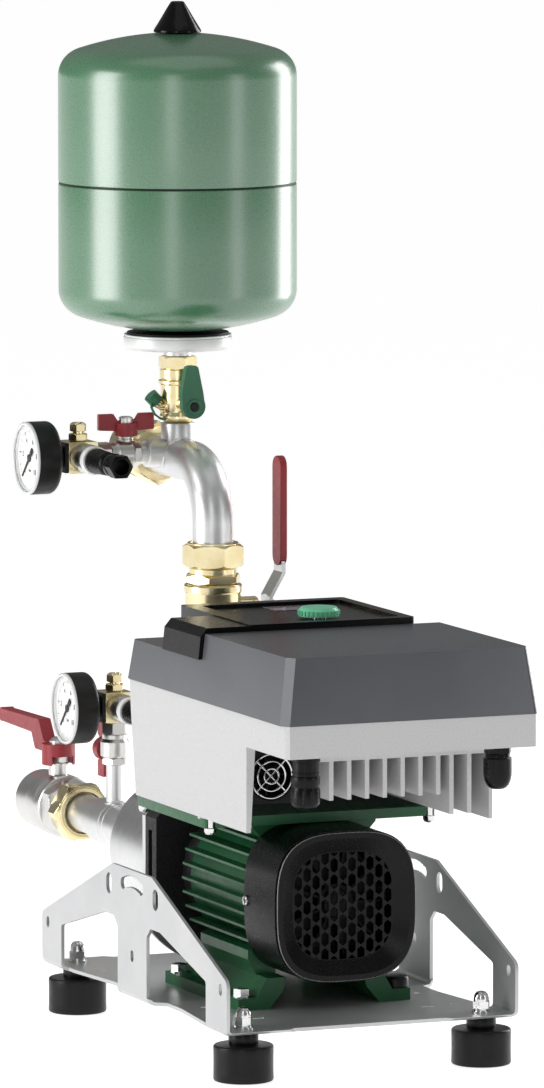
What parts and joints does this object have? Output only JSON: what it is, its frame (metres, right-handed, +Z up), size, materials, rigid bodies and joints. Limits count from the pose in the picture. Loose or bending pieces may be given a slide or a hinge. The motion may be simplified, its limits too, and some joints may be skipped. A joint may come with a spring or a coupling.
{
  "type": "pressure boosting pump set",
  "caption": "Horizontal multistage centrifugal pump with controller, diaphragm tank, gauges and shut-off valves on a bent sheet frame with rubber buffers.",
  "frame": {"origin": "on the floor, under the middle of the rectangle of the four rubber buffers", "axes": "+Z up, +Y along the pump's shaft towards the suction connection, +X to the right seen from the motor's fan end"},
  "size_m": [0.2738, 0.9374, 0.8681],
  "materials": {
    "sheet_steel": "satin",
    "rubber": "matte",
    "zinc": "polished",
    "motor_green": "satin",
    "core_steel": "satin",
    "steel": "satin",
    "black_metal": "matte",
    "black_plastic": "satin",
    "stainless": "satin",
    "brass": "polished",
    "nickel": "polished",
    "red_plastic": "gloss",
    "gauge_black": "satin",
    "gauge_glass": "gloss",
    "green_plastic": "satin",
    "flange_white": "satin",
    "tank_green": "gloss",
    "housing_grey": "matte",
    "cover_grey": "satin",
    "board": "gloss"
  },
  "bodies": {
    "set": {"base_frame": "sheet_steel", "rubber_feet": "rubber", "tank_membrane": "rubber", "hex_fasteners": "zinc", "small_screws": "zinc", "bearings": "zinc", "motor_frame": "motor_green", "support_plate": "motor_green", "stator": "core_steel", "lantern": "black_metal", "fan_cover": "black_plastic", "fan_guard": "black_plastic", "cable_glands": "black_plastic", "pressure_sensors": "black_plastic", "tank_cap": "black_plastic", "panel_frame": "black_plastic", "clamp_plate": "stainless", "pump_barrel": "stainless", "stage_chambers": "stainless", "discharge_pipe": "stainless", "suction_pipe": "stainless", "check_valve_body": "brass", "discharge_valve_body": "brass", "union_nuts": "brass", "gauge_blocks": "brass", "vent_screws": "brass", "tank_valve_body": "brass", "suction_valve_body": "nickel", "gauge_valve_bodies": "nickel", "gauge_cases": "gauge_black", "gauge_glasses": "gauge_glass", "drain_cap": "green_plastic", "tank_ring": "flange_white", "tank_lower_shell": "tank_green", "tank_upper_shell": "tank_green", "controller_housing": "housing_grey", "heat_sink": "housing_grey", "controller_cover": "cover_grey", "circuit_board": "board"},
    "rotor": {"rotor_shaft": "steel", "motor_fan": "black_plastic", "impellers": "stainless", "shaft_seal": "stainless"},
    "controller_fan": {"cooling_fan": "black_plastic"},
    "spindle": {"knob_spindle": "steel"},
    "knob": {"operating_knob": "green_plastic"},
    "suction_handle": {"suction_lever": "red_plastic", "suction_ball": "nickel"},
    "discharge_handle": {"discharge_lever": "steel", "discharge_grip": "red_plastic", "discharge_ball": "nickel"},
    "upper_tap": {"upper_gauge_handle": "red_plastic", "upper_gauge_ball": "nickel"},
    "lower_tap": {"lower_gauge_handle": "red_plastic", "lower_gauge_ball": "nickel"},
    "tank_tap": {"tank_valve_lever": "green_plastic", "tank_valve_ball": "nickel"},
    "check_disc": {"check_valve_disc": "brass"},
    "upper_needle": {"upper_pointer": "gauge_black"},
    "lower_needle": {"lower_pointer": "gauge_black"}
  },
  "joints": [
    {"name": "shaft_spin", "type": "hinge", "parent": "set", "child": "rotor", "pos_m": [0, 0, 0.133], "axis": [0, 1, 0], "continuous": true},
    {"name": "cooling_fan_spin", "type": "hinge", "parent": "set", "child": "controller_fan", "pos_m": [-0.087, -0.2, 0.253], "axis": [0, 1, 0], "continuous": true},
    {"name": "knob_press", "type": "slide", "parent": "set", "child": "spindle", "axis": [0, 0, -1], "range_m": [0, 0.002], "stiffness_N_per_m": 900},
    {"name": "knob_turn", "type": "hinge", "parent": "spindle", "child": "knob", "pos_m": [0.015, -0.058, 0.37], "axis": [0, 0, 1], "continuous": true},
    {"name": "suction_lever_turn", "type": "hinge", "parent": "set", "child": "suction_handle", "pos_m": [0, 0.51, 0.177], "axis": [0, 0, 1], "range_deg": [0, 90]},
    {"name": "discharge_lever_turn", "type": "hinge", "parent": "set", "child": "discharge_handle", "pos_m": [0.05, 0.1405, 0.35], "axis": [-1, 0, 0], "range_deg": [0, 90]},
    {"name": "upper_tap_turn", "type": "hinge", "parent": "set", "child": "upper_tap", "pos_m": [-0.04862, 0.221, 0.49], "axis": [0, 0, 1], "range_deg": [0, 90]},
    {"name": "lower_tap_turn", "type": "hinge", "parent": "set", "child": "lower_tap", "pos_m": [0, 0.39, 0.19752], "axis": [0, 1, 0], "range_deg": [0, 90]},
    {"name": "tank_tap_turn", "type": "hinge", "parent": "set", "child": "tank_tap", "pos_m": [0, 0.19, 0.5205], "axis": [0, 1, 0], "range_deg": [0, 90]},
    {"name": "check_disc_lift", "type": "slide", "parent": "set", "child": "check_disc", "axis": [0, 0, 1], "range_m": [0, 0.008]},
    {"name": "upper_needle_turn", "type": "hinge", "parent": "set", "child": "upper_needle", "pos_m": [-0.14, 0.221, 0.4778], "axis": [1, 0, 0], "range_deg": [0, 270], "stiffness_Nm_per_rad": 0.0002},
    {"name": "lower_needle_turn", "type": "hinge", "parent": "set", "child": "lower_needle", "pos_m": [-0.046, 0.372, 0.2383], "axis": [1, 0, 0], "range_deg": [0, 270], "stiffness_Nm_per_rad": 0.0002}
  ]
}
